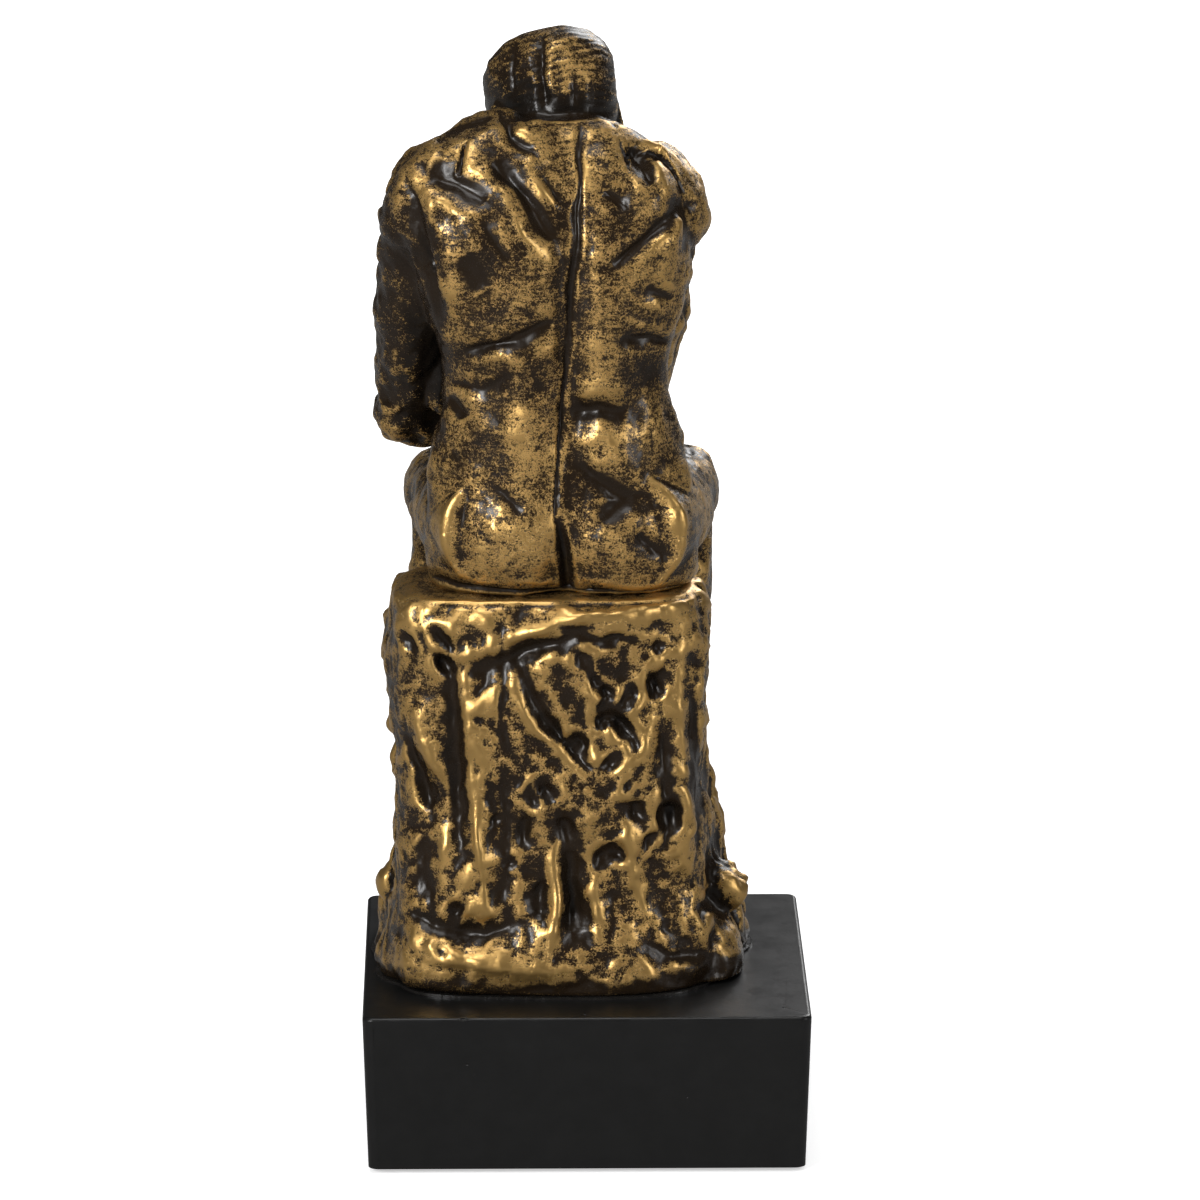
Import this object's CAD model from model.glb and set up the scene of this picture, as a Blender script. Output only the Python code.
from math import radians

import bmesh
import bpy
import numpy as np
from mathutils import Matrix, Vector
from mathutils.bvhtree import BVHTree


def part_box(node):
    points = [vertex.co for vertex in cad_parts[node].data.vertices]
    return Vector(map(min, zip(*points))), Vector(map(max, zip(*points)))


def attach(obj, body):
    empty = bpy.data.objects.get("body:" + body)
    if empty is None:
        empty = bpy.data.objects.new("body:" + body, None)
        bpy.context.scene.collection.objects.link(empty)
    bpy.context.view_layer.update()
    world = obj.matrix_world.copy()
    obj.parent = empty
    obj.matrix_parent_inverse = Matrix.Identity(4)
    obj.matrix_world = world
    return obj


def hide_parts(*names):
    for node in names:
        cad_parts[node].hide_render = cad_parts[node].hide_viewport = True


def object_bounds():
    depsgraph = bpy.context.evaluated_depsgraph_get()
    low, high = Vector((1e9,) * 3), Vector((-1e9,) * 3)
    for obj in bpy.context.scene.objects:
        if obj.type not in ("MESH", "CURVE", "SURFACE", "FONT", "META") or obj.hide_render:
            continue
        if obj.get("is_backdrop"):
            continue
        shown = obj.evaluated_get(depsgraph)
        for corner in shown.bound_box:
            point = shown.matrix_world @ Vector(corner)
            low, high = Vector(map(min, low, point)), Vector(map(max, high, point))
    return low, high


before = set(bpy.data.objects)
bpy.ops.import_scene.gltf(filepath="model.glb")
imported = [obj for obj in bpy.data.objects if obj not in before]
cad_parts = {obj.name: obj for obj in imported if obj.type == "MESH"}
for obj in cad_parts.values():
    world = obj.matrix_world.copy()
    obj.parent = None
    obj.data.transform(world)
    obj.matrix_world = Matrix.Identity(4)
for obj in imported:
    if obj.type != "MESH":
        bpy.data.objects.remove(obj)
cad_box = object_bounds()
MM = 0.001

# --- Table, room and camera -------------------------------------------------------------
# A plain pale table in a white studio, a soft box on either side, one above and one in front
# of the figure, and a long lens looking down a little at the figure's back.


class Value:
    """A socket of a finish that takes part in sums and products."""

    def __init__(self, paint, socket):
        self.paint = paint
        self.socket = socket

    def sum(self, operation, a, b, clamp=False):
        return self.paint.node("Math", {"operation": operation, "use_clamp": clamp}, {0: a, 1: b})

    def __add__(self, other):
        return self.sum("ADD", self, other)

    def __radd__(self, other):
        return self.sum("ADD", other, self)

    def __sub__(self, other):
        return self.sum("SUBTRACT", self, other)

    def __rsub__(self, other):
        return self.sum("SUBTRACT", other, self)

    def __mul__(self, other):
        return self.sum("MULTIPLY", self, other)

    def clamped(self):
        return self.sum("ADD", self, 0.0, True)


class Paint:
    """One finish: its material and the nodes that mix it."""

    def __init__(self, name):
        self.material = bpy.data.materials.new(name)
        self.material.use_nodes = True
        self.tree = self.material.node_tree
        self.tree.nodes.clear()

    def node(self, kind, settings, inputs, output=0):
        """Adds a node with its settings and inputs, and gives back one of its outputs."""
        node = self.tree.nodes.new("ShaderNode" + kind)
        for key, value in settings.items():
            setattr(node, key, value)
        for key, value in inputs.items():
            if isinstance(value, Value):
                self.tree.links.new(value.socket, node.inputs[key])
            else:
                node.inputs[key].default_value = value
        return Value(self, node.outputs[output]) if len(node.outputs) else node

    def place(self):
        """Where a point lies on the object, in metres."""
        return self.node("TexCoord", {}, {}, "Object")

    def noise(self, place, size, detail=3.0, rough=0.55, warp=0.0):
        """Cloudy grain of about one size in metres, from 0 to 1."""
        grain = {"Vector": place, "Scale": 1 / size, "Detail": detail, "Roughness": rough}
        return self.node("TexNoise", {}, {**grain, "Distortion": warp}, "Fac")

    def stretched(self, place, scale):
        """The same place, squeezed so that a grain on it draws out into streaks."""
        return self.node("Mapping", {}, {"Vector": place, "Scale": scale})

    def rays(self):
        """1 for rays from the camera, for mirrored rays and for rays through glass, else 0."""
        kinds = ("Camera", "Glossy", "Transmission")
        return [self.node("LightPath", {}, {}, f"Is {kind} Ray") for kind in kinds]

    def mix(self, amount, one, other):
        """One colour passing into another."""
        return self.node("Mix", {"data_type": "RGBA"}, {0: amount, 6: one, 7: other}, 2)

    def ridge(self, height, depth, strength=1.0):
        """A fine relief as a normal: depth in metres for a height of 1."""
        return self.node("Bump", {}, {"Height": height, "Distance": depth, "Strength": strength})

    def surface(self, inputs):
        shader = self.node("BsdfPrincipled", {}, inputs)
        self.node("OutputMaterial", {}, {"Surface": shader})
        return self.material


def colour(red, green, blue):
    return (red, green, blue, 1.0)


def only(*pieces):
    """Leaves just these pieces selected, the first of them active."""
    bpy.ops.object.select_all(action="DESELECT")
    for piece in pieces:
        piece.select_set(True)
    bpy.context.view_layer.objects.active = pieces[0]


def settle(piece, name):
    """Names a finished piece and puts its place into its mesh."""
    only(piece)
    bpy.ops.object.transform_apply(location=True, rotation=True, scale=True)
    piece.name = name
    piece.data.name = name
    return piece


# How bright the walls are as seen, as mirrored and as light that falls on the object
ROOM_WHITE = 1.0
ROOM_GLEAM = 0.045
ROOM_FILL = 0.24
# The table glows more with its distance, in metres, and passes into the walls. The object
# mirrors it dimmed, so that the lacquer stays black.
FLOOR_SIZE = 6.0
FLOOR_PALE = (0.86, 0.86, 0.86)
FLOOR_GLOW = 0.52
FLOOR_MIRRORED = 0.2
FLOOR_NEAR = 0.25
FLOOR_FAR = 1.6

bpy.ops.object.select_all(action="DESELECT")
bpy.ops.mesh.primitive_plane_add(size=FLOOR_SIZE, location=(0, 0, 0))
floor = settle(bpy.context.object, "table_top")
table = Paint("pale_table")
camera_ray, gloss_ray, clear_ray = table.rays()
seen = (camera_ray + gloss_ray * FLOOR_MIRRORED + clear_ray).clamped()
dim = colour(*(part * FLOOR_MIRRORED for part in FLOOR_PALE))
pale_colour = table.mix(gloss_ray, colour(*FLOOR_PALE), dim)
pale = table.node("BsdfDiffuse", {}, {"Color": pale_colour})
far = table.node("VectorMath", {"operation": "LENGTH"}, {0: table.place()}, 1)
span = {"From Min": FLOOR_NEAR, "From Max": FLOOR_FAR}
fade = table.node("MapRange", {}, {"Value": far, **span})
shine = seen * (FLOOR_GLOW + fade * (1 - FLOOR_GLOW))
glow = table.node("Emission", {}, {"Color": colour(1, 1, 1), "Strength": shine})
lit = table.node("AddShader", {}, {0: pale, 1: glow})
table.node("OutputMaterial", {}, {"Surface": lit})
floor.data.materials.append(table.material)
floor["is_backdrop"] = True


class Room(Paint):
    """The studio's white walls, as a world."""

    def __init__(self):
        world = bpy.data.worlds.new("white_studio")
        bpy.context.scene.world = world
        world.use_nodes = True
        self.tree = world.node_tree
        self.tree.nodes.clear()


room = Room()
camera_ray, gloss_ray, clear_ray = room.rays()
gleam = (gloss_ray + clear_ray).clamped() * (ROOM_GLEAM - ROOM_FILL)
strength = ROOM_FILL + gleam + camera_ray * (ROOM_WHITE - ROOM_FILL)
walls = room.node("Background", {}, {"Color": colour(1, 1, 1), "Strength": strength})
room.node("OutputWorld", {}, {"Surface": walls})

AIM = Vector((-0.00368, 0.0, 0.1245))
LOOK = Vector((-0.01351, -0.97008, -0.24241)).normalized()
CAMERA_DISTANCE = 1.9709
CAMERA_NEAREST = 0.05
LENS = 252.24
SENSOR = 36.0

# Each lamp: name, place, width, height, watts
LAMPS = (
    ("soft_box_left", (0.85, 1.15, 0.75), 0.22, 0.55, 19.0),
    ("soft_box_right", (-1.15, 0.65, 0.55), 0.22, 0.7, 5.5),
    ("soft_box_above", (0.1, 0.25, 1.35), 0.6, 0.4, 6.0),
    ("soft_box_front", (-0.5, -1.25, 0.8), 0.6, 0.8, 9.0),
)
for name, spot, wide, tall, watts in LAMPS:
    bpy.ops.object.light_add(type="AREA", location=spot)
    lamp = bpy.context.object
    lamp.name = name
    lamp.data.shape = "RECTANGLE"
    lamp.data.size = wide
    lamp.data.size_y = tall
    lamp.data.energy = watts
    lamp.rotation_euler = (AIM - Vector(spot)).to_track_quat("-Z", "Y").to_euler()

bpy.ops.object.camera_add(location=AIM - LOOK * CAMERA_DISTANCE)
camera = bpy.context.object
camera.rotation_euler = LOOK.to_track_quat("-Z", "Y").to_euler()
camera.data.lens = LENS
camera.data.sensor_width = SENSOR
camera.data.clip_start = CAMERA_NEAREST
bpy.context.scene.camera = camera
bpy.context.scene.view_settings.view_transform = "Standard"

# --- Sculpting --------------------------------------------------------------------------
# The castings were modelled in clay before they were moulded: every groove, fold, pit and
# lump below is a stroke of the tool on the skin of the solid model, in millimetres.

WELD_REACH = 0.00001
GRAIN_CELLS = 32
GRAIN_GAIN = 0.8

# A tool stroke's section, in shares of its width and height: its core, its soft flanks and
# the rims that it throws up
CORE_SHARE, CORE_WIDTH = 0.62, 0.85
FLANK_SHARE, FLANK_WIDTH = 0.45, 2.3
RIM_SHARE, RIM_PLACE, RIM_WIDTH = 0.2, 2.9, 1.1
# What is left of a stroke at its ends, and how far paint thins or pools beside it
END_SHARE = 0.3
POOL_WIDTH, BLACK_WIDTH = 2.1, 1.2
# How the hand sways and presses: amount, size of the change and seeds
SWAY, SWAY_SIZE, SWAY_SEEDS = 0.65, 7.5, (3, 4, 5)
PRESS, PRESS_SIZE, PRESS_SEED = 0.45, 5.0, 6

# How raised a place is, felt at three sizes: rounds of evening, height, share
RELIEF = ((3, 0.1, 0.3), (14, 0.35, 0.45), (60, 0.9, 0.45))
STROKE_RELIEF, STROKE_GAIN = 0.3, 0.55
# How open it is: rays that start a little off the skin and spread round its normal
RAY_LIFT, RAY_SPREAD, RAY_SEED = 0.25, 0.85, 5

# From edge-on to full view, as the share of the normal that points to the viewer
IN_VIEW = (-0.15, 0.45)


def weld(name, nodes):
    """Copies of some castings' meshes, welded and joined into one piece."""
    bpy.ops.object.select_all(action="DESELECT")
    copies = []
    for node in nodes:
        piece = bpy.data.objects.new(name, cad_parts[node].data.copy())
        bpy.context.collection.objects.link(piece)
        piece.data.materials.clear()
        copies.append(piece)
    only(*copies)
    if len(copies) > 1:
        bpy.ops.object.join()
    piece = bpy.context.object
    bpy.ops.object.mode_set(mode="EDIT")
    bpy.ops.mesh.select_all(action="SELECT")
    bpy.ops.mesh.remove_doubles(threshold=WELD_REACH)
    bpy.ops.object.mode_set(mode="OBJECT")
    return piece


def modify(piece, kind, **settings):
    """Applies a modifier to a piece."""
    only(piece)
    change = piece.modifiers.new("change", kind)
    for key, value in settings.items():
        setattr(change, key, value)
    bpy.ops.object.modifier_apply(modifier="change")
    return piece


def reskin(piece, step):
    """An even skin of small faces over everything that the piece holds."""
    return modify(piece, "REMESH", mode="VOXEL", voxel_size=step * MM, use_smooth_shade=True)


class Grain:
    """Clay's own unevenness: smooth random lumps of any size, the same on every run."""

    def __init__(self, seed):
        random = np.random.default_rng(seed)
        self.table = random.uniform(-1, 1, (GRAIN_CELLS,) * 3)
        self.turns = [np.linalg.qr(random.normal(size=(3, 3)))[0] for _ in range(2)]

    def at(self, places, size, stretch=(1, 1, 1)):
        scaled = places / (np.array(stretch) * size)
        one, other = (self.sample(scaled @ turn) for turn in self.turns)
        return GRAIN_GAIN * (one + other)

    def sample(self, spots):
        low = np.floor(spots).astype(int)
        part = spots - low
        part = part * part * (3 - 2 * part)
        total = np.zeros(len(spots))
        for corner in range(8):
            bits = np.array([corner & 1, corner >> 1 & 1, corner >> 2 & 1])
            share = np.prod(np.where(bits, part, 1 - part), axis=1)
            total += share * self.table[tuple(((low + bits) % GRAIN_CELLS).T)]
        return total


def bell(distance, width):
    """1 in the middle, fading out over about one width."""
    return np.exp(-((distance / width) ** 2))


def ease(values, low, high):
    """0 below one value, 1 above another, and smooth between them."""
    share = np.clip((values - low) / (high - low), 0, 1)
    return share * share * (3 - 2 * share)


def off_point(places, point):
    """How far each place is from a point."""
    return np.linalg.norm(places - np.array(point, float), axis=1)


def off_line(places, points):
    """How far each place is from a bent line, and how far along the line it lies (0 to 1)."""
    best = np.full(len(places), np.inf)
    along = np.zeros(len(places))
    if len(points) == 1:
        return off_point(places, points[0]), along + 0.5
    points = [np.array(p, float) for p in points]
    spans = [np.linalg.norm(b - a) for a, b in zip(points, points[1:])]
    done = 0.0
    for a, b, span in zip(points, points[1:], spans):
        share = np.clip((places - a) @ (b - a) / span**2, 0, 1)
        distance = np.linalg.norm(places - (a + share[:, None] * (b - a)), axis=1)
        nearer = distance < best
        best = np.where(nearer, distance, best)
        along = np.where(nearer, (done + share * span) / sum(spans), along)
        done += span
    return best, along


class Skin:
    """A sculpted skin: its places in millimetres, its normals and neighbours, what strokes did
    to it (pooled, black), and which part of it faces the viewer of flat strokes (facing)."""

    def __init__(self, piece):
        self.piece = piece
        self.mesh = piece.data
        self.size = len(self.mesh.vertices)
        places = np.empty(self.size * 3)
        self.mesh.vertices.foreach_get("co", places)
        self.places = places.reshape(-1, 3) / MM
        edges = np.empty(len(self.mesh.edges) * 2, int)
        self.mesh.edges.foreach_get("vertices", edges)
        self.ends = edges.reshape(-1, 2).T
        self.count = np.bincount(self.ends.ravel(), minlength=self.size)
        self.pooled = np.zeros(self.size)
        self.black = np.zeros(self.size)
        self.look()

    def look(self):
        """Writes the places back and reads the normals."""
        self.mesh.vertices.foreach_set("co", (self.places * MM).ravel())
        self.mesh.update()
        normals = np.empty(self.size * 3)
        self.mesh.vertices.foreach_get("normal", normals)
        self.normals = normals.reshape(-1, 3)

    def relaxed(self, values, rounds):
        """Values evened out with their neighbours."""
        one, other = self.ends
        for _ in range(rounds):
            near = [
                np.bincount(one, column[other], self.size)
                + np.bincount(other, column[one], self.size)
                for column in values.T
            ]
            values = (values + np.stack(near, axis=1) / self.count[:, None]) / 2
        return values

    def smooth(self, rounds, where=1.0):
        """Rubs the clay smooth, everywhere or where a mask says."""
        mask = np.broadcast_to(where, self.size)[:, None]
        self.places = self.places + (self.relaxed(self.places, rounds) - self.places) * mask
        self.look()

    def push(self, amount):
        """Moves the skin in or out along its normals."""
        self.places = self.places + self.normals * amount[:, None]
        self.look()

    def strokes(self, lines):
        """Total of some tool strokes: each a list of points, a width and a height (minus is cut).
        Points of two numbers are flat strokes, across and up on the side that faces."""
        total = np.zeros(self.size)
        sway = np.stack([Grain(seed).at(self.places, SWAY_SIZE) for seed in SWAY_SEEDS], axis=1)
        press = 1 + PRESS * Grain(PRESS_SEED).at(self.places, PRESS_SIZE)
        wobbly = self.places + SWAY * sway
        for points, width, height in lines:
            flat = len(points[0]) == 2
            distance, along = off_line(wobbly[:, [0, 2]] if flat else wobbly, points)
            taper = END_SHARE + (1 - END_SHARE) * (1 - (2 * along - 1) ** 4)
            wide = width * press
            stroke = CORE_SHARE * bell(distance, CORE_WIDTH * wide)
            stroke += FLANK_SHARE * bell(distance, FLANK_WIDTH * wide)
            stroke -= RIM_SHARE * bell(distance - RIM_PLACE * wide, RIM_WIDTH * wide)
            shown = self.facing if flat else 1.0
            total += stroke * taper * height * shown
            self.pooled += bell(distance, POOL_WIDTH * wide) * taper * height * shown
            self.black += bell(distance, BLACK_WIDTH * wide) * taper * max(-height, 0) * shown
        return total

    def swells(self, lumps):
        """Total of some broad swellings on the side that faces: across, up, half width, half
        height, rise."""
        total = np.zeros(self.size)
        for x, z, wide, tall, rise in lumps:
            reach = ((self.places[:, 0] - x) / wide) ** 2 + ((self.places[:, 2] - z) / tall) ** 2
            total += rise * np.exp(-reach) * self.facing
        return total

    def measure(self, rays=9, reach=0.02):
        """Finds how raised and how open each place is, for the rubbed paint."""
        raised = np.zeros(self.size)
        last = self.places
        for rounds, size, share in RELIEF:
            evened = self.relaxed(last, rounds)
            height = ((self.places - evened) * self.normals).sum(axis=1)
            raised += share * np.tanh(height / size)
            last = evened
        self.raised = raised + STROKE_RELIEF * np.tanh(STROKE_GAIN * self.pooled)
        tree = BVHTree.FromPolygons(
            [Vector(p) for p in self.places * MM], [tuple(f.vertices) for f in self.mesh.polygons]
        )
        fans = np.random.default_rng(RAY_SEED).normal(size=(rays, 3))
        fans /= np.linalg.norm(fans, axis=1)[:, None]
        starts = ((self.places + self.normals * RAY_LIFT) * MM).tolist()
        free_rays = np.zeros(self.size)
        for fan in fans:
            ways = (self.normals + RAY_SPREAD * fan).tolist()
            hits = [
                tree.ray_cast(start, way, reach)[3] is not None for start, way in zip(starts, ways)
            ]
            free_rays += 1 - np.array(hits)
        self.open = self.relaxed(free_rays[:, None] / rays, 2)[:, 0]

    def keep(self, mesh, used=slice(None)):
        """Stores what the paint asks of each place in a mesh of some or all of them."""
        for name in ("raised", "open", "black"):
            layer = mesh.attributes.new(name, "FLOAT", "POINT")
            layer.data.foreach_set("value", getattr(self, name)[used].astype(np.float32))


# --- Head -------------------------------------------------------------------------------
# A bowed head with short combed hair, modelled in clay as one ball with the neck. The nose,
# lips, lids and ears are laid on before the skin is smoothed over them.

HEAD_MIDDLE = Vector((7.0, -14.5, 238.6))
HEAD_BOW = 33.0
HEAD_TURN = 22.0
CHIN_DROP = 22.0
HEAD_STEP = 0.45

turn = Matrix.Rotation(radians(HEAD_TURN), 4, "Z") @ Matrix.Rotation(radians(HEAD_BOW), 4, "X")
HEAD = Matrix.Translation(HEAD_MIDDLE) @ turn @ Matrix.Translation((0, 0, -CHIN_DROP))
HEAD_INVERSE = np.array(HEAD.inverted())


def in_head(places):
    """Places in the head's own axes: across to its left, back, and up from the chin."""
    return places @ HEAD_INVERSE[:3, :3].T + HEAD_INVERSE[:3, 3]


def dab(middle, sizes, tilt=(0, 0, 0), frame_of=HEAD):
    """A lump of clay: middle and half sizes in millimetres, tilt in degrees, all in a frame."""
    bpy.ops.mesh.primitive_uv_sphere_add(segments=24, ring_count=16, radius=1)
    lump = bpy.context.object
    lean = Matrix.Rotation(radians(tilt[2]), 4, "Z") @ Matrix.Rotation(radians(tilt[1]), 4, "Y")
    lean = lean @ Matrix.Rotation(radians(tilt[0]), 4, "X")
    lump.matrix_world = (
        Matrix.Scale(MM, 4)
        @ frame_of
        @ Matrix.Translation(middle)
        @ lean
        @ Matrix.Diagonal((*sizes, 1))
    )
    return lump


def put_on(piece, lumps):
    """Joins lumps of clay to a piece."""
    only(piece, *lumps)
    bpy.ops.object.transform_apply(location=True, rotation=True, scale=True)
    bpy.ops.object.join()
    return bpy.context.object


# Features on the middle of the face, then on both sides: middle, half sizes, tilt
FACE_DABS = (
    ((0, -17.7, 17.5), (1.6, 1.9, 5.4), (10, 0, 0)),
    ((0, -19.5, 13.4), (1.9, 1.7, 1.7)),
    ((0, -16.2, 24.6), (6.5, 1.7, 2.2)),
    ((0, -18.2, 9.2), (3.7, 1.4, 1)),
    ((0, -18, 6.9), (3, 1.5, 1.2)),
    ((0, -16.4, 2.8), (4.4, 2.2, 2.8)),
)
SIDE_DABS = (
    ((2.2, -18.2, 12.5), (1.3, 1.8, 1.4), (0, 0, 0)),
    ((5.2, -14.7, 23.6), (4.4, 1.5, 1.3), (0, 8, 18)),
    ((7.6, -11.3, 15), (3.4, 2.2, 3), (0, 16, 30)),
)
EAR_LOBES = (((14.8, 0.2, 13.6), (0.9, 1.3, 1.4), (0, 0, 0)),)
EYE_DABS = (
    ((5.5, -12.3, 19.8), (2.6, 2.6, 2.4), (0, 0, 10)),
    ((5.5, -12.6, 21.05), (3, 2.8, 1.1), (-14, 6, 14)),
    ((5.5, -12.4, 18.1), (2.8, 2.7, 0.7), (10, 4, 14)),
)
EAR_RIM = (15.2, 1.8, 18.8)
EAR_SWING = 22
EAR_SHAPE = (1.25, 0.72, 1.0, 1)


def on_both_sides(dabs):
    """Lumps of clay on the left of the head, and their mirror images on its right."""
    return [
        dab((side * x, y, z), sizes, (tip, side * roll, side * swing))
        for side in (1, -1)
        for (x, y, z), sizes, (tip, roll, swing) in dabs
    ]


def ear_rim(side):
    """The curled rim of an ear, a flattened ring that stands off the head."""
    bpy.ops.mesh.primitive_torus_add(
        major_radius=3.3, minor_radius=0.85, major_segments=32, minor_segments=12
    )
    rim = bpy.context.object
    out, back, up = EAR_RIM
    rim.matrix_world = (
        Matrix.Scale(MM, 4)
        @ HEAD
        @ Matrix.Translation((side * out, back, up))
        @ Matrix.Rotation(radians(side * EAR_SWING), 4, "Z")
        @ Matrix.Rotation(radians(90), 4, "Y")
        @ Matrix.Diagonal(EAR_SHAPE)
    )
    return rim


head = weld("head_clay", ["head"])
lumps = [dab(*lump) for lump in FACE_DABS] + on_both_sides(SIDE_DABS)
lumps += [ear_rim(side) for side in (1, -1)]
lumps += on_both_sides(EAR_LOBES)
head = reskin(put_on(head, lumps), HEAD_STEP)
skin = Skin(head)
skin.smooth(3)

# Eye sockets, temples and hollows by the nose and mouth, mirrored, in the head's own axes:
# place, width, depth
FACE_HOLLOWS = (
    ((5.5, -14.4, 19.8), 3.2, -2.2),
    ((11.7, -8, 24.5), 4, -0.4),
    ((2.6, -16, 21.2), 1.9, -1),
    ((4.4, -17, 12.6), 1.2, -0.5),
    ((5.2, -16, 10), 1.8, -0.45),
    ((9, -11.5, 9), 4, -0.6),
)
# The mouth and the grooves over and under it: points, width, depth
MOUTH_LINES = (
    (((-3.4, -18.6, 8), (0, -19.8, 8.15), (3.4, -18.6, 8)), 0.55, -0.9),
    (((0, -21.5, 11), (0, -20.6, 10.2)), 0.7, -0.35),
    (((-2.6, -18.4, 4.9), (0, -19, 4.6), (2.6, -18.4, 4.9)), 0.9, -0.6),
)
# Nostrils and ear holes, mirrored: place, width, depth
HEAD_HOLES = (
    ((1.25, -19.8, 11), 0.75, -0.8),
    ((16.2, 0.8, 18.4), 1.5, -1),
)
local = in_head(skin.places)
face = ease(-local[:, 1], 6, 11)
amount = np.zeros(skin.size)
for (x, y, z), width, depth in FACE_HOLLOWS:
    for side in (1, -1):
        amount += depth * bell(off_point(local, (side * x, y, z)), width) * face
for points, width, depth in MOUTH_LINES:
    amount += depth * bell(off_line(local, points)[0], width) * face
for side in (1, -1):
    for (x, y, z), width, depth in HEAD_HOLES:
        amount += depth * bell(off_point(local, (side * x, y, z)), width)
skin.push(amount)
skin.smooth(1)
head = put_on(head, on_both_sides(EYE_DABS))

# --- Body, limbs and cloth --------------------------------------------------------------
# The trunk, limbs and lap cloth are separate castings, filled at the joints and dressed down
# as one skin, so they are sculpted as one and parted again along their joints.

FIGURE = ("torso", "head", "left_arm", "right_arm", "left_leg", "right_leg", "lap_cloth")
FIGURE_STEP = 0.55
FIGURE_MIDDLE = 5
PLAIN = Matrix.Identity(4)

# Clay that fills the arms' joints and slopes from the neck: middle, half sizes, tilt
JOINT_DABS = (
    ((25, 6, 235.5), (12, 9, 5.5), (0, 26, 10)),
    ((-7, 1, 233), (11, 9, 5.5), (0, -26, 10)),
    ((-19, 6.5, 210), (4.5, 5.5, 9)),
    ((36.5, -3, 194), (4.5, 6, 17)),
    ((35.5, 8, 220), (7.5, 9, 14)),
    ((-18, 2, 217), (7, 9.5, 13)),
    ((34, 5, 210), (6, 9, 8)),
    ((-19, 0, 208), (5, 8.5, 8)),
    ((33.5, -6, 180), (4.5, 5.5, 13)),
    ((-12.5, 7, 214), (12, 14.5, 18)),
    ((32.5, 11, 219), (11.5, 14.8, 14)),
)
figure = weld("figure_clay", [name for name in FIGURE if name != "head"])
figure = put_on(figure, [dab(*lump, frame_of=PLAIN) for lump in JOINT_DABS])
figure = reskin(put_on(figure, [head]), FIGURE_STEP)


def islands(items, beside):
    """Groups of items that hang together, by a function that gives an item's neighbours."""
    left = dict.fromkeys(items)
    groups = []
    while left:
        group = [left.popitem()[0]]
        for item in group:
            for other in beside(item):
                if other in left:
                    del left[other]
                    group.append(other)
        groups.append(group)
    return groups


def largest_part(piece):
    """Keeps the outer skin and drops the small closed voids of the pin bores."""
    shape = bmesh.new()
    shape.from_mesh(piece.data)
    parts = islands(shape.verts, lambda vert: [e.other_vert(vert) for e in vert.link_edges])
    keep = set(max(parts, key=len))
    bmesh.ops.delete(shape, geom=[v for v in shape.verts if v not in keep], context="VERTS")
    shape.to_mesh(piece.data)
    shape.free()
    return piece


skin = Skin(largest_part(figure))
local = in_head(skin.places)
x, y, z = skin.places.T
# What belongs to the head: above the chin in front and the nape behind, and within its width
nape = 11 * ease(local[:, 1], 2, 12)
is_head = ease(local[:, 2] - nape, -3, 1) * ease(z, 222, 228)
is_head *= ease(-np.abs(local[:, 0]), -22, -18) * (1 - ease(local[:, 1], 18, 20))
off_head = 1 - is_head
skin.facing = ease(skin.normals[:, 1], *IN_VIEW) * ease(y, -2, 4) * off_head
skin.smooth(8, off_head)

# Round shoulders, as ellipses seen from behind: side, middle across and up, half width and
# height. A little of what stands past an ellipse is spared.
SHOULDERS = (
    (1, (30, 219), (15.2, 17.4)),
    (-1, (-14, 212), (15, 21.5)),
)
SHOULDER_SPARED = 0.08
# Where they are rubbed round, how far about and for how many rounds
SHOULDER_BACKS = ((35, 14, 222), (-17, 10, 215))
SHOULDER_REACH = 19
SHOULDER_ROUNDS = 110
for side, middle, halves in SHOULDERS:
    across, up = (skin.places[:, [0, 2]] - np.array(middle)).T
    past = np.maximum(np.hypot(across / halves[0], up / halves[1]), 1e-3)
    shrink = np.clip(1 - (1.0 + SHOULDER_SPARED * (past - 1)) / past, 0, 1)
    keep = 1 - ease(side * across, 1.5, 6.0) * ease(up, 0, 5) * off_head * shrink
    skin.places[:, 0] = middle[0] + across * keep
    skin.places[:, 2] = middle[1] + up * keep
skin.look()
for shoulder in SHOULDER_BACKS:
    round_it = bell(off_point(skin.places, shoulder), SHOULDER_REACH)
    skin.smooth(SHOULDER_ROUNDS, np.clip(1.4 * round_it, 0, 1) * off_head)

BACK_GAIN = 1.3
# Broad muscles of the back: across, up, half width, half height, rise
BACK_SWELLS = (
    (13, 238, 9, 6, 1.3),
    (30, 234, 8, 7, 1.5),
    (15, 216, 8.5, 12, 1.5),
    (28, 208, 7, 12, 1.4),
    (23, 192, 8, 8, 0.9),
    (12, 196, 6.5, 14, 1.2),
    (12.5, 172, 7, 14, 1.3),
    (24, 168, 7.5, 14, 0.9),
    (18, 146, 12, 10, 1.6),
    (-6, 234, 6, 8, 1.2),
    (-16, 228, 6, 7, 1.4),
    (-5.5, 214, 6, 10, 1),
    (-18, 210, 7, 10, 1.6),
    (-6, 193, 6.5, 14, 1.2),
    (-15.5, 196, 6, 8, 0.8),
    (-5, 180, 6.5, 6, 0.9),
    (-11, 166, 8, 7.5, 1.3),
    (-9, 147, 12, 10, 1.6),
    (34, 152, 5, 9, 0.8),
    (-23, 152, 5, 9, 0.8),
)
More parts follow.
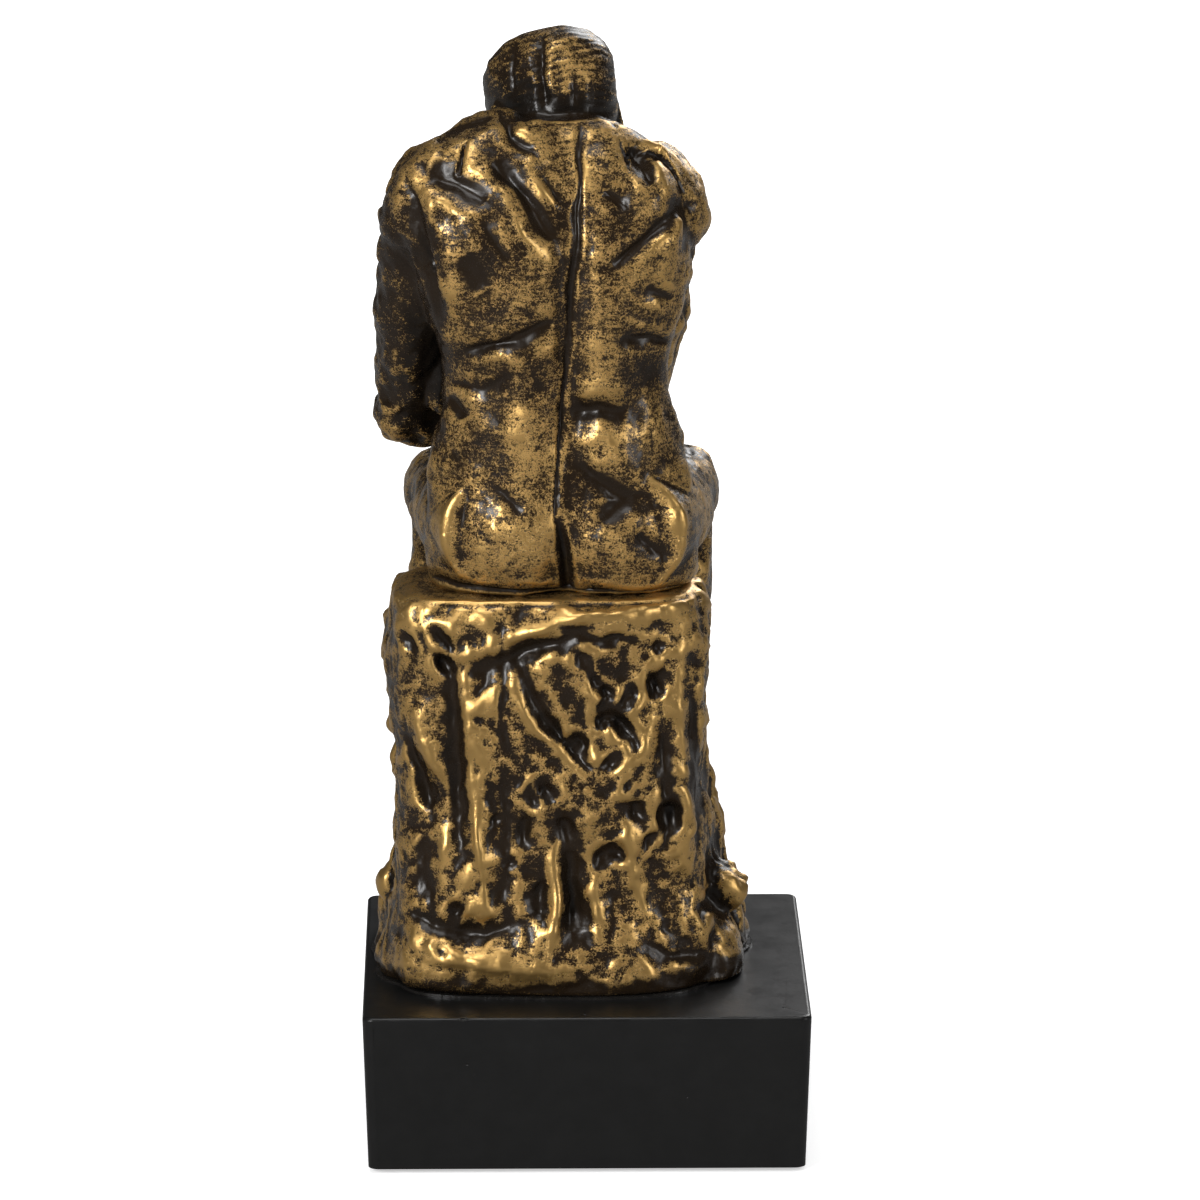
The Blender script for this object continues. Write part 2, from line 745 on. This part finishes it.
# Tool strokes on the back: points across and up as seen from behind, width, height
BACK_STROKES = (
    (((1, 239), (1.2, 231), (1.6, 221), (2.4, 211), (3.3, 201), (3.6, 193)), 0.5, -1),
    (((3.6, 194), (4.3, 186), (4.9, 178), (5.9, 168), (6.3, 158), (6.6, 150)), 0.45, -0.8),
    (((5.8, 150), (4.6, 141), (4.6, 132)), 0.65, -1.6),
    (((19.7, 244.5), (16.8, 238.7), (11.7, 235.3)), 1, -1.6),
    (((20.2, 246.5), (15.8, 247.8), (10.8, 246.6), (7.4, 244.5)), 1, -1.3),
    (((21.3, 233), (14, 226), (6.7, 216.2)), 1.5, -2.3),
    (((36.2, 231.1), (29.8, 228.8), (23.2, 224.8)), 2, -1.9),
    (((34.5, 237.5), (26.3, 240.6), (20.2, 242.2)), 0.9, -1.1),
    (((39.5, 227), (38, 216), (35.5, 205.8), (34, 196)), 1.5, -2.4),
    (((-11.1, 234.5), (-16.6, 228.2)), 1.2, -1.9),
    (((-14, 236), (-19, 230.5)), 1.2, 1.1),
    (((-21.8, 220.8), (-13.6, 215), (-6.6, 209.4)), 1.5, -1.7),
    (((-19.5, 224.2), (-23.4, 220.7), (-24.4, 209.1)), 1.2, -1),
    (((28.3, 212.7), (23.3, 204.5)), 2.4, -1.3),
    (((28.5, 189.5), (23.8, 190.9), (14.6, 193.7), (7.5, 197)), 1.5, -1.7),
    (((3.4, 175.1), (-4, 175.3), (-10, 173.9)), 1.9, -1.8),
    (((-8, 192.5), (-15.5, 191.3), (-19.6, 188.9)), 1.2, -1.4),
    (((1.5, 162.6), (-4, 158.5), (-9.3, 155), (-3.1, 150.3)), 1.9, -1.7),
    (((-11.6, 146.7), (-17.4, 141.4)), 1.2, -1.1),
    (((31.8, 178), (28.4, 172.8)), 1.4, -1.4),
    (((35.5, 133.9), (20, 132.6), (5.9, 132.2), (-10, 131.6), (-26, 131.4)), 1.1, -1.7),
    (((17, 184), (24, 180), (30, 181)), 1, -0.7),
    (((21, 158), (14.5, 152)), 1.2, -0.7),
    (((-13.5, 204), (-20.5, 200)), 1.1, -0.9),
    (((9.5, 229.5), (5.5, 224)), 1, -0.8),
    (((-4, 226), (-9, 222)), 1.1, -1),
    (((24, 220.5), (19, 212)), 1, -0.8),
)
skin.push(BACK_GAIN * skin.swells(BACK_SWELLS))
skin.push(skin.strokes(BACK_STROKES))
back = skin.facing

# Strokes on the front and the arms: points in space, width, height
BODY_STROKES = [
    (((3.5, -22, 226), (5, -22, 212), (6, -16, 196), (5.5, -12, 178), (5, -11, 162)), 1.4, -1.5),
    (((28, -13, 207), (19, -18, 203), (8, -19, 204.5)), 1.5, -1.6),
    (((2, -19.5, 204), (-8, -22, 202), (-16, -17, 206)), 1.5, -1.6),
    (((12, -15, 190), (-2, -17, 189)), 1, -0.9),
    (((13, -12, 177), (-3, -14, 176)), 1, -0.9),
    (((26, -8, 219), (17, -12, 224.5), (9, -13, 226)), 1.4, 1.2),
    (((-12, -13, 219), (-5, -15, 223.5), (4, -14, 225.5)), 1.4, 1.2),
    (((46.5, 9, 224), (47.5, 3, 213), (46.5, -2, 204)), 1.4, -1.3),
    (((38, -4, 221), (43, -7, 211), (46, -5, 203)), 1.2, -1.2),
    (((44, 5, 208), (46, -3, 192), (47, -8, 180)), 1.6, -1.4),
    (((38, 0, 205), (38, -8, 190), (38, -14, 178)), 1.5, -1),
    (((48.5, -6, 192), (48.5, -12, 178)), 2.4, 0.9),
    (((43, -3, 176), (46.5, -8, 170)), 1.3, -1.4),
    (((36, -24, 173), (28, -31, 170), (22, -36, 168)), 1.2, -1),
    (((46, -16, 162), (36, -26, 157)), 1.3, -1),
    (((-26, 3, 216), (-27, -6, 206), (-24, -13, 196)), 1.4, -1.2),
    (((-20, -12, 214), (-15, -18, 202), (-11, -24, 188)), 1.5, -1.1),
    (((-25, -7, 194), (-22, -16, 178)), 1.6, -1),
    (((-12, -31, 174), (-7, -30, 184), (-2, -28, 192)), 1.2, -0.9),
]
# Strokes on each leg, with points that count out from the figure's middle
LEG_STROKES = (
    (((29, -18, 158), (31, -30, 154), (30, -42, 150)), 1.6, -1.1),
    (((36, -12, 146), (38, -28, 142)), 2.2, -1.2),
    (((24, -47, 150), (27, -50, 146), (31, -47, 150)), 1.1, -0.4),
    (((27.5, -49.5, 143),), 4, 1),
    (((23, -48, 136), (27, -49.5, 134.5), (32, -47, 136)), 1.2, -0.9),
    (((27, -47, 131), (26, -41, 115), (24.5, -34, 98)), 1.5, 0.8),
    (((34, -33, 128), (33, -28, 112), (29, -24, 98)), 1.8, -1.2),
    (((18, -34, 126), (18, -30, 110), (18, -26, 97)), 1.8, -1),
    (((29.2, -20, 84),), 2.2, 1.1),
    (((17.2, -20, 85),), 2.2, 1),
    (((22, -31, 86), (21, -38, 82)), 1, 0.5),
)
for side in (1, -1):
    for points, width, height in LEG_STROKES:
        leg_points = [(FIGURE_MIDDLE + side * out, deep, up) for out, deep, up in points]
        BODY_STROKES.append((leg_points, width, height))
skin.push(skin.strokes(BODY_STROKES) * off_head)

# Folds of the cloth: ripples over the thighs, and upright strokes on the hanging end
grain_a, grain_b, grain_c = Grain(11), Grain(23), Grain(37)
x, y, z = skin.places.T
cloth_box = [np.array(corner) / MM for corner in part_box("lap_cloth")]
margin = np.min(np.minimum(skin.places - cloth_box[0], cloth_box[1] - skin.places), axis=1)
in_cloth = ease(margin, -1.2, 0.4)
in_front = ease(-y, 21, 25)
over = in_cloth * ease(z, 130, 136) * (1 - in_front)
skin.smooth(30, np.clip(in_cloth * 1.2, 0, 1) * ease(-y, 8, 12))
skin.facing = in_cloth * in_front
CLOTH_FOLDS = (
    (((-7.6, 141), (-8.6, 128), (-10.6, 110)), 1.1, -1.6),
    (((-3.2, 141), (-4.2, 126), (-5.4, 110)), 0.8, -1.2),
    (((1.2, 139), (2.4, 128), (2.8, 119)), 1.2, -1.8),
    (((6.2, 141), (7, 127), (5.6, 110)), 0.9, -1.4),
    (((11.4, 140), (10.4, 126), (12, 110)), 1.4, -1.9),
    (((16.2, 141), (16.8, 128), (18.6, 110)), 0.9, -1.3),
    (((-5.6, 140), (-6.4, 128), (-8, 109)), 1.3, 1.1),
    (((4, 140), (4.4, 126), (3.8, 109)), 1, 0.8),
    (((13.6, 140), (13.6, 126), (15.2, 109)), 1.3, 1),
)
skin.push(skin.strokes(CLOTH_FOLDS))
aside = np.abs(x - FIGURE_MIDDLE)
ripple = np.sin((y + 0.25 * aside) * 0.95 + 1.6 * grain_b.at(skin.places, 12)) * 0.42
skin.push(over * ripple)

# The clay's roughness, stronger on the arms and weaker on the head and back, then combed hair
# above a hairline that climbs towards the brow and round the ears
rough = 0.55 * grain_a.at(skin.places, 6.5) + 0.26 * grain_b.at(skin.places, 3.1)
rough += 0.11 * grain_c.at(skin.places, 1.5)
arms = ease(aside, 24, 31) * ease(z, 150, 160)
skin.push(rough * (1 + 0.9 * arms) * (1 - 0.8 * is_head) * (1 - 0.4 * back))
local = in_head(skin.places)
hairline = 8.5 + 24.5 * ease(-local[:, 1], -6, 14)
hair = ease(local[:, 2] - hairline, -1.2, 1.6) * ease(z, 226, 230)
hair *= np.abs(local[:, 0]) < 16.4
ear = bell(off_point(np.abs(local), (15, 1.4, 18)), 5.2)
hair *= 1 - np.clip(1.6 * ear, 0, 1)
angle = np.arctan2(local[:, 0], local[:, 1] + 1.0)
comb = np.sin(local[:, 2] * 3.6 + 2.6 * grain_a.at(skin.places, 6) + 1.4 * np.cos(angle * 3))
lock = grain_b.at(skin.places, 3.4, (1.6, 1.6, 0.55))
skin.push(hair * (0.055 * comb + 0.26 * lock - 0.25))
HAIR_STROKES = (
    (((9.2, 257), (9.6, 250), (9, 242)), 0.8, -1),
    (((2.5, 256), (1.8, 249), (2.6, 242)), 0.7, -0.8),
    (((15.5, 255), (17, 249), (16.5, 244)), 0.7, -0.6),
)
skin.facing = ease(skin.normals[:, 1], *IN_VIEW) * is_head
skin.push(skin.strokes(HAIR_STROKES) * hair)

# Nothing stands past the box of the solid model
skin.places = np.clip(skin.places, *(np.array(corner) / MM for corner in cad_box))
skin.look()
skin.measure()
# Less gold was rubbed on the left upper arm and the head
upper_arm = ease(x, 31, 34) * ease(z, 160, 166) * ease(-z, -226, -214)
skin.raised -= 0.55 * upper_arm + 0.45 * is_head

# How far off a casting is looked for, in metres; how thick a flat rim may be against its
# width; rounds that even out the line between two castings
REACH = 0.006
FLAT_SHARE = 0.16
JOINT_ROUNDS = 4


def cap_flat_rims(shape):
    """Closes the open rims that lie nearly in one plane, as at a neck or shoulder joint, with a
    fan of faces to the rim's middle, which stays inside the joint."""
    open_edges = [edge for edge in shape.edges if edge.is_boundary]
    for rim in islands(open_edges, lambda edge: [e for v in edge.verts for e in v.link_edges]):
        spots = np.array([v.co for e in rim for v in e.verts])
        middle = spots.mean(axis=0)
        spots = spots - middle
        spread = np.sqrt(np.linalg.eigvalsh(spots.T @ spots / len(spots)))
        if spread[0] < FLAT_SHARE * spread[2]:
            centre = shape.verts.new(middle)
            for edge in rim:
                loop = edge.link_loops[0]
                shape.faces.new((loop.link_loop_next.vert, loop.vert, centre))


def part_castings(skin, nodes):
    """Parts a sculpted skin along its joints: each face goes to the nearest casting."""
    mesh = skin.mesh
    nearest = np.empty((skin.size, len(nodes)))
    spots = (skin.places * MM).tolist()
    for i, node in enumerate(nodes):
        tree = BVHTree.FromObject(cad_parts[node], bpy.context.evaluated_depsgraph_get())
        found = [tree.find_nearest(spot, REACH)[3] for spot in spots]
        nearest[:, i] = [REACH if distance is None else distance for distance in found]
    votes = np.zeros_like(nearest)
    votes[np.arange(skin.size), nearest.argmin(axis=1)] = 1
    owner = skin.relaxed(votes, JOINT_ROUNDS).argmax(axis=1)
    faces = np.empty(len(mesh.polygons) * 4, int)
    mesh.polygons.foreach_get("vertices", faces)
    faces = faces.reshape(-1, 4)
    face_owner = owner[faces[:, 0]]
    castings = {}
    for i, node in enumerate(nodes):
        own = faces[face_owner == i]
        used, numbers = np.unique(own, return_inverse=True)
        part = bpy.data.meshes.new(node + "_casting")
        part.from_pydata((skin.places[used] * MM).tolist(), [], numbers.reshape(-1, 4).tolist())
        skin.keep(part, used)
        shape = bmesh.new()
        shape.from_mesh(part)
        cap_flat_rims(shape)
        shape.to_mesh(part)
        shape.free()
        part.polygons.foreach_set("use_smooth", [True] * len(part.polygons))
        normals = np.empty(len(part.vertices) * 3)
        part.vertices.foreach_get("normal", normals)
        normals = normals.reshape(-1, 3)
        normals[: len(used)] = skin.normals[used]
        part.normals_split_custom_set_from_vertices(normals.tolist())
        casting = bpy.data.objects.new(node + "_casting", part)
        bpy.context.collection.objects.link(casting)
        castings[node] = casting
    bpy.data.objects.remove(skin.piece)
    return castings


castings = part_castings(skin, FIGURE)

# --- Rock -------------------------------------------------------------------------------
# One rough casting with a lip under the figure, deep pits, drips down its flanks and loose
# lumps round its foot. Places are across and up as seen from behind.

ROCK_STEP = 0.8
ROCK_FOOT = 38.6
ROCK_MIDDLE = (8.5, 9.5)
HOLLOW = (26.5, 13.5)
HOLLOW_TOP = 115.5

ROCK_SWELLS = (
    (20, 126, 16, 4, 1),
    (-8, 125, 15, 5, 1.6),
    (36, 112, 7, 12, 0.8),
    (23, 100, 4, 16, 1.3),
    (-14, 92, 7, 12, 1),
    (7, 62, 5, 12, 1.2),
    (28, 68, 6, 12, 1),
    (14, 50, 12, 6, 1.8),
    (34, 47, 10, 6, 1.6),
    (-8, 50, 8, 8, 1.2),
    (-24, 54, 8, 8, 1.6),
    (-3, 88, 6, 6, 0.8),
)
ROCK_STROKES = (
    (
        ((28.6, 119.1), (19.4, 121.4), (17.1, 124), (0.9, 128), (-11.7, 129.2), (-26.3, 129.8)),
        1.5,
        1.5,
    ),
    (((27, 115), (20, 117.4), (12, 121.5), (1, 124.2), (-9, 120.5)), 1.5, -1.6),
    (((15, 117), (13, 110), (9.5, 103.7), (1.9, 94.1), (-1.5, 92)), 1.2, -2.2),
    (((17, 112), (12, 103), (5, 95)), 1.2, 0.9),
    (((28.2, 118.6), (26.8, 99.5), (24.4, 59.5)), 1.5, 1.5),
    (((31, 117), (30, 100), (29, 78)), 2, -1.5),
    (((19.1, 123.6), (19.2, 114), (18.6, 96)), 0.6, -0.7),
    (((-21.4, 125.6), (-22, 94.5), (-24.1, 65.6)), 1.6, 1.4),
    (((39.1, 103.8), (36, 96), (32, 87)), 1.3, 1.3),
    (((42, 100), (38, 90), (35.5, 80)), 1.2, -1.4),
    (((7, 75), (7, 62), (8, 50)), 1.3, 1.3),
    (((-1.6, 67.4), (-2.3, 55)), 1.3, 1.2),
    (((-9.5, 77.5), (-11, 66), (-13.9, 55.3)), 1.4, 1.4),
    (((24.3, 89.9), (24.8, 74), (23.4, 57)), 1.4, 1.2),
    (((18.5, 92), (18, 78), (19.5, 62)), 1.4, -1),
    (((3, 73), (3.1, 63), (3.1, 54)), 1.7, -2.4),
    (((10.7, 66), (10.7, 57)), 1.3, -1.6),
    (((13.9, 81), (14, 74)), 1.2, -1.8),
    (((5.6, 83), (4.2, 75)), 1.5, -2.2),
    (((-12, 84), (-12, 79)), 1.6, -2.3),
    (((6, 126.2), (-0.9, 126.1)), 1.1, -1.4),
    (((-4.4, 122.8), (-7.8, 124.2), (-12.4, 122.3)), 0.9, -1.2),
    (((-18, 100), (-19, 90), (-20, 74)), 1.6, -1.3),
    (((-25.5, 108), (-26, 90), (-27.5, 72)), 1.5, -1.3),
    (((-29.5, 76), (-31.5, 64), (-35.5, 56)), 1.5, 1.4),
    (((40, 52), (30, 47.5), (14, 45.5), (-2, 46)), 1.7, 1),
    (((41, 57), (33.5, 54), (24, 53), (16, 56.5)), 1.5, -1.5),
    (((-14, 50), (-20, 47), (-30, 46.5)), 1.4, -1.3),
    (((37, 76), (38.5, 66), (36, 58)), 1.5, -1.2),
    (((31.5, 92), (31, 80), (33, 68)), 1.2, 0.9),
    (((32, 131.2), (5, 131.4), (-24, 131.2)), 1.3, -0.7),
)
# Pits: across, up, width, depth
ROCK_PITS = (
    (34.1, 124.1, 1.5, 1.7),
    (32.1, 121.5, 1.3, 1.5),
    (33, 116.9, 2, 2.3),
    (41.1, 121.5, 1.5, 1.2),
    (-4.6, 110.6, 1.7, 2.2),
    (-7.4, 102.9, 2.6, 3.2),
    (-3.6, 103.2, 1.7, 2.4),
    (-10.4, 109.4, 1.6, 2.1),
    (-16.2, 111.5, 2.1, 2.3),
    (1.4, 119, 1.5, 1.6),
    (1.4, 98.2, 1.7, 1.9),
    (9.5, 87.2, 2, 2.2),
    (12.4, 85, 1.4, 1.6),
    (-4.1, 71, 1.7, 2.1),
    (-7.6, 71.6, 1.3, 1.6),
    (-19.7, 80.3, 2.3, 2.5),
    (-15, 75, 1.2, 1.2),
    (30, 58.1, 1.6, 1.6),
    (33.8, 49.4, 1.3, 1.4),
    (-28.3, 55.9, 1.6, 1.6),
    (-17, 120, 1.3, 1.4),
    (-2, 113.5, 1.2, 1.3),
    (17.5, 70, 1.1, 1.1),
    (21, 80, 1, 1),
    (25, 104, 1.2, 1),
    (-6, 94, 1.4, 1.4),
    (-9.5, 88, 1.2, 1.4),
)
# A lump with a hole in it
KNOB = (44.0, 9.5, 58.5)

# Loose lumps round the foot: middle, half sizes, tilt
LUMP_DABS = (
    ((43, 4, 57.5), (5.2, 6, 5)),
    ((-32, 6, 57), (6, 8, 7), (0, 10, 0)),
    ((38, 12, 46), (9, 10, 8)),
)
rock = weld("rock_clay", ["rock"])
rock = put_on(rock, [dab(*lump, frame_of=PLAIN) for lump in LUMP_DABS])
rock = reskin(rock, ROCK_STEP)
skin = Skin(rock)
x, y, z = skin.places.T
# Only the outside is worked: not the hollow, the underside, nor most of the seat
past_sides = np.maximum(
    np.abs(x - ROCK_MIDDLE[0]) - HOLLOW[0], np.abs(y - ROCK_MIDDLE[1]) - HOLLOW[1]
)
outside = ease(np.maximum(past_sides, z - HOLLOW_TOP), 0.0, 1.5)
standing = ease(z, ROCK_FOOT + 0.2, ROCK_FOOT + 2.2)
seat = ease(skin.normals[:, 2], 0.55, 0.85) * ease(z, 126, 129)
free = outside * standing * (1 - 0.85 * seat)
skin.smooth(6, free)
back = ease(skin.normals[:, 1], -0.2, 0.35) * ease(y, 6, 14) * free
skin.facing = back

# Broad broken faces first, then ridges and drips that run down, then pits; less of it on
# the back, where strokes and pits are drawn
face_grain, drip_grain, chip_grain, pit_grain = Grain(51), Grain(67), Grain(73), Grain(89)
broad = 1.5 * face_grain.at(skin.places, 17) + 0.9 * (1 - 2 * np.abs(chip_grain.at(skin.places, 9)))
skin.push(free * (broad - 0.5) * (1 - 0.3 * back))
skin.push(skin.swells(ROCK_SWELLS) * free)
drips = 1 - 2.2 * np.abs(drip_grain.at(skin.places, 5.2, (1, 1, 3.4)))
chips = 2.4 * np.abs(chip_grain.at(skin.places, 4.6, (1.1, 1, 1.5))) - 0.8
skin.push(free * (1 - 0.7 * back) * (0.4 * drips + 0.65 * chips))
holes = ease(pit_grain.at(skin.places, 4.6, (1, 1, 1.35)), 0.42, 0.8)
skin.push(-1.1 * free * holes * (1 - 0.75 * back))
skin.push(skin.strokes(ROCK_STROKES) * free)
amount = np.zeros(skin.size)
x, y, z = skin.places.T
ragged = 1 + 0.4 * pit_grain.at(skin.places, 3.0)
for across, up, width, depth in ROCK_PITS:
    lean = 0.5 * np.sin(7 * across)
    distance = np.hypot(x - across + lean * (z - up), (z - up) * 0.8) * ragged
    pit = 0.25 * bell(distance - 1.7 * width, 0.8 * width) - bell(distance, width)
    amount += pit * depth * back
    skin.pooled -= 0.8 * bell(distance, 1.7 * width) * depth * back
    skin.black += bell(distance, 1.05 * width) * depth * back
# Black stays along the foot and in the hole of the knob
skin.black += 1.1 * (1 - ease(z + 2.5 * face_grain.at(skin.places, 12), 41.0, 45.5))
distance = off_point(skin.places, KNOB)
skin.black += 1.2 * bell(distance, 1.9)
amount += bell(distance, 5.0) * free - 2.2 * bell(distance, 1.6) * free
skin.push(amount)
skin.push(free * (0.22 * chip_grain.at(skin.places, 2.1) + 0.14 * face_grain.at(skin.places, 1.3)))
skin.places[:, 2] = np.maximum(skin.places[:, 2], ROCK_FOOT)
skin.look()
skin.measure()
skin.keep(rock.data)
castings["rock"] = settle(rock, "rock_casting")
rock.data.polygons.foreach_set("use_smooth", [True] * len(rock.data.polygons))

# --- Paint of the castings --------------------------------------------------------------
# Every casting is dipped in gloss black and dry-brushed with antique gold: the gold sits on
# what stands out, skips in worm-like specks, and leaves the grooves black and shiny.

BLACK_COAT = colour(0.006, 0.0048, 0.0037)
BROWN_COAT = colour(0.015, 0.009, 0.0045)
GOLD_DULL = colour(0.085, 0.045, 0.013)
GOLD_BRIGHT = colour(0.58, 0.358, 0.12)

rubbed = Paint("gold_rubbed_resin")
place = rubbed.place()
raised = rubbed.node("Attribute", {"attribute_name": "raised"}, {}, "Fac")
opened = rubbed.node("Attribute", {"attribute_name": "open"}, {}, "Fac")
pool = rubbed.node("Attribute", {"attribute_name": "black"}, {}, "Fac")
speck = rubbed.noise(place, 0.00075, 4.0, 0.66, 1.5)
streak = rubbed.noise(rubbed.stretched(place, (260, 260, 1500)), 1.0, 2.0)
cloud = rubbed.noise(place, 0.0085, 3.0, 0.6, 0.4)
wide = rubbed.noise(place, 0.03, 2.0)

# Each sum weighs relief and grains, which lie round a half; its last number is the balance
# of black and gold, or of dull and bright
hold = raised * 1.5 + opened * 1.15 + (speck - 0.5) * 5.6
hold = hold + (streak - 0.5) * 1.8 + (cloud - 0.5) * 2.0 + (wide - 0.5) * 1.8 - 1.5
black = ((pool - 0.72) * 2.0 + (speck - 0.5) * 3.2 + (cloud - 0.5) * 1.6 + 0.5).clamped()
gold = (hold * 1.3 + 0.5).clamped() * (1.0 - black)
bright = raised * 0.8 + (speck - 0.5) * 1.6 + (cloud - 0.5) * 1.4 + (wide - 0.5) * 1.4 + 0.45
brown = opened * 1.2 - 0.35 + (cloud - 0.5) * 0.8
gold_colour = rubbed.mix(bright.clamped(), GOLD_DULL, GOLD_BRIGHT)
coat_colour = rubbed.mix(brown.clamped(), BLACK_COAT, BROWN_COAT)
height = speck * 0.6 + streak * 0.3 + gold * 0.5
gold_finish = rubbed.surface(
    {
        "Base Color": rubbed.mix(gold, coat_colour, gold_colour),
        "Metallic": gold * 0.92,
        "Roughness": 0.25 + gold * 0.08 + (speck - 0.5) * 0.25,
        "Specular IOR Level": 0.13,
        "Coat Weight": 0.16,
        "Coat Roughness": 0.2,
        "Normal": rubbed.ridge(height, 0.00015, 0.75),
    }
)
for node, casting in castings.items():
    casting.data.materials.clear()
    casting.data.materials.append(gold_finish)
    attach(casting, "root")
    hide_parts(node)

# --- Plinth -----------------------------------------------------------------------------
# A hollow square casting, sprayed satin black. A few air bubbles of the casting are open on
# its faces, one edge is chipped and a mould seam runs down beside a corner.

# Bubbles on the faces and the top: place, radius
BUBBLES = (
    ((27.8, 51.9, 26.8), 0.45),
    ((26.2, 51.8, 24.3), 0.35),
    ((-23.1, 51.7, 18.6), 0.45),
    ((0.5, 49, 38), 0.35),
    ((-45.7, 44, 38), 0.4),
    ((-46, 51.2, 6), 0.3),
    ((51.8, 12, 22), 0.4),
    ((-51.7, -20, 15), 0.4),
    ((14, -51.7, 20), 0.35),
    ((-30, -51.8, 27), 0.3),
    ((33, -44, 38), 0.3),
)
# The chipped edge: middle, half sizes, tilt
CHIP = ((28.4, 51.9, 38.0), (1.5, 0.7, 0.6), (20, 15, 10))
SEAM_MIDDLE = (49.3, 52.0, 20.0)
SEAM_SIZES = (0.3, 0.5, 31.0)
SHARP_FROM = 30
LACQUER_BLACK = colour(0.0052, 0.0051, 0.005)
LACQUER_DUSTY = colour(0.0088, 0.0086, 0.0083)

plinth = weld("plinth_clay", ["plinth"])
cutters = [dab(middle, (radius,) * 3, frame_of=PLAIN) for middle, radius in BUBBLES]
cutters.append(dab(*CHIP, frame_of=PLAIN))
bpy.ops.mesh.primitive_cube_add(size=1)
seam = bpy.context.object
seam.matrix_world = (
    Matrix.Scale(MM, 4) @ Matrix.Translation(SEAM_MIDDLE) @ Matrix.Diagonal((*SEAM_SIZES, 1))
)
cutter = put_on(cutters[0], [*cutters[1:], seam])
modify(plinth, "BOOLEAN", operation="DIFFERENCE", solver="EXACT", object=cutter)
bpy.data.objects.remove(cutter)
settle(plinth, "plinth_casting")
bpy.ops.object.shade_smooth_by_angle(angle=radians(SHARP_FROM))
modify(plinth, "WEIGHTED_NORMAL", keep_sharp=True)

lacquer = Paint("black_lacquer")
place = lacquer.place()
dust = lacquer.noise(place, 0.006, 4.0, 0.6)
orange_peel = lacquer.noise(place, 0.0016, 2.0)
brushed = lacquer.noise(lacquer.stretched(place, (40, 40, 700)), 1.0, 2.0)
lacquer_finish = lacquer.surface(
    {
        "Base Color": lacquer.mix((dust - 0.2).clamped() * 0.8, LACQUER_BLACK, LACQUER_DUSTY),
        "Roughness": 0.36 + (dust - 0.5) * 0.22 + (brushed - 0.5) * 0.06,
        "Specular IOR Level": 0.32,
        "Normal": lacquer.ridge(orange_peel * 0.7 + brushed * 0.3, 0.00006, 0.5),
    }
)
plinth.data.materials.append(lacquer_finish)
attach(plinth, "root")
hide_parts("plinth")

# --- Hidden hardware --------------------------------------------------------------------
# Felt discs, hardboard, zinc screws and washers, brass sleeves, drawn steel pins and the
# black glue that is squeezed out under the rock keep the shapes of their solids.

felt = Paint("felt")
place = felt.place()
fuzz = felt.noise(place, 0.0006, 4.0, 0.7, 1.0)
felt_finish = felt.surface(
    {
        "Base Color": felt.mix(fuzz, colour(0.01, 0.01, 0.011), colour(0.045, 0.045, 0.048)),
        "Roughness": 0.95,
        "Normal": felt.ridge(fuzz, 0.0003),
    }
)

board = Paint("hardboard")
place = board.place()
fibre = board.noise(board.stretched(place, (1, 2.6, 1)), 0.0012, 5.0, 0.65, 0.8)
board_finish = board.surface(
    {
        "Base Color": board.mix(fibre, colour(0.085, 0.045, 0.022), colour(0.24, 0.14, 0.075)),
        "Roughness": 0.62 + fibre * 0.2,
        "Normal": board.ridge(fibre, 0.00012),
    }
)


def metal(name, dark, light, rough):
    """Plain turned, plated or drawn metal with fine tool marks and a little tarnish."""
    paint = Paint(name)
    spot = paint.place()
    marks = paint.noise(paint.stretched(spot, (1, 1, 7)), 0.0005, 3.0)
    tarnish = paint.noise(spot, 0.003, 4.0, 0.6)
    return paint.surface(
        {
            "Base Color": paint.mix(tarnish, colour(*dark), colour(*light)),
            "Metallic": 1.0,
            "Roughness": rough + (marks - 0.5) * 0.2 + (tarnish - 0.5) * 0.15,
            "Normal": paint.ridge(marks, 0.00003, 0.6),
        }
    )


zinc_finish = metal("zinc_steel", (0.36, 0.37, 0.38), (0.62, 0.62, 0.6), 0.34)
steel_finish = metal("pin_steel", (0.3, 0.3, 0.31), (0.55, 0.55, 0.55), 0.28)
brass_finish = metal("brass_insert", (0.5, 0.33, 0.11), (0.78, 0.58, 0.27), 0.3)

glue = Paint("epoxy")
place = glue.place()
runs = glue.noise(place, 0.0022, 3.0, 0.5, 0.5)
glue_finish = glue.surface(
    {
        "Base Color": glue.mix(runs, colour(0.006, 0.006, 0.006), colour(0.018, 0.016, 0.014)),
        "Roughness": 0.16 + runs * 0.2,
        "Normal": glue.ridge(runs, 0.0004, 0.8),
    }
)

for finish, names in (
    (felt_finish, ["felt_feet"]),
    (board_finish, ["base_board"]),
    (zinc_finish, ["base_board_screws", "fixing_screws", "fixing_washers"]),
    (steel_finish, ["seat_pins", "hip_pins", "shoulder_pins", "neck_pin", "foot_pins"]),
    (brass_finish, ["rock_inserts"]),
    (glue_finish, ["glue_bed"]),
):
    for name in names:
        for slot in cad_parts[name].material_slots:
            slot.material = finish

for name, piece in (("cad", cad_box), ("visual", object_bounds())):
    print(name, [[round(v, 5) for v in corner] for corner in piece])
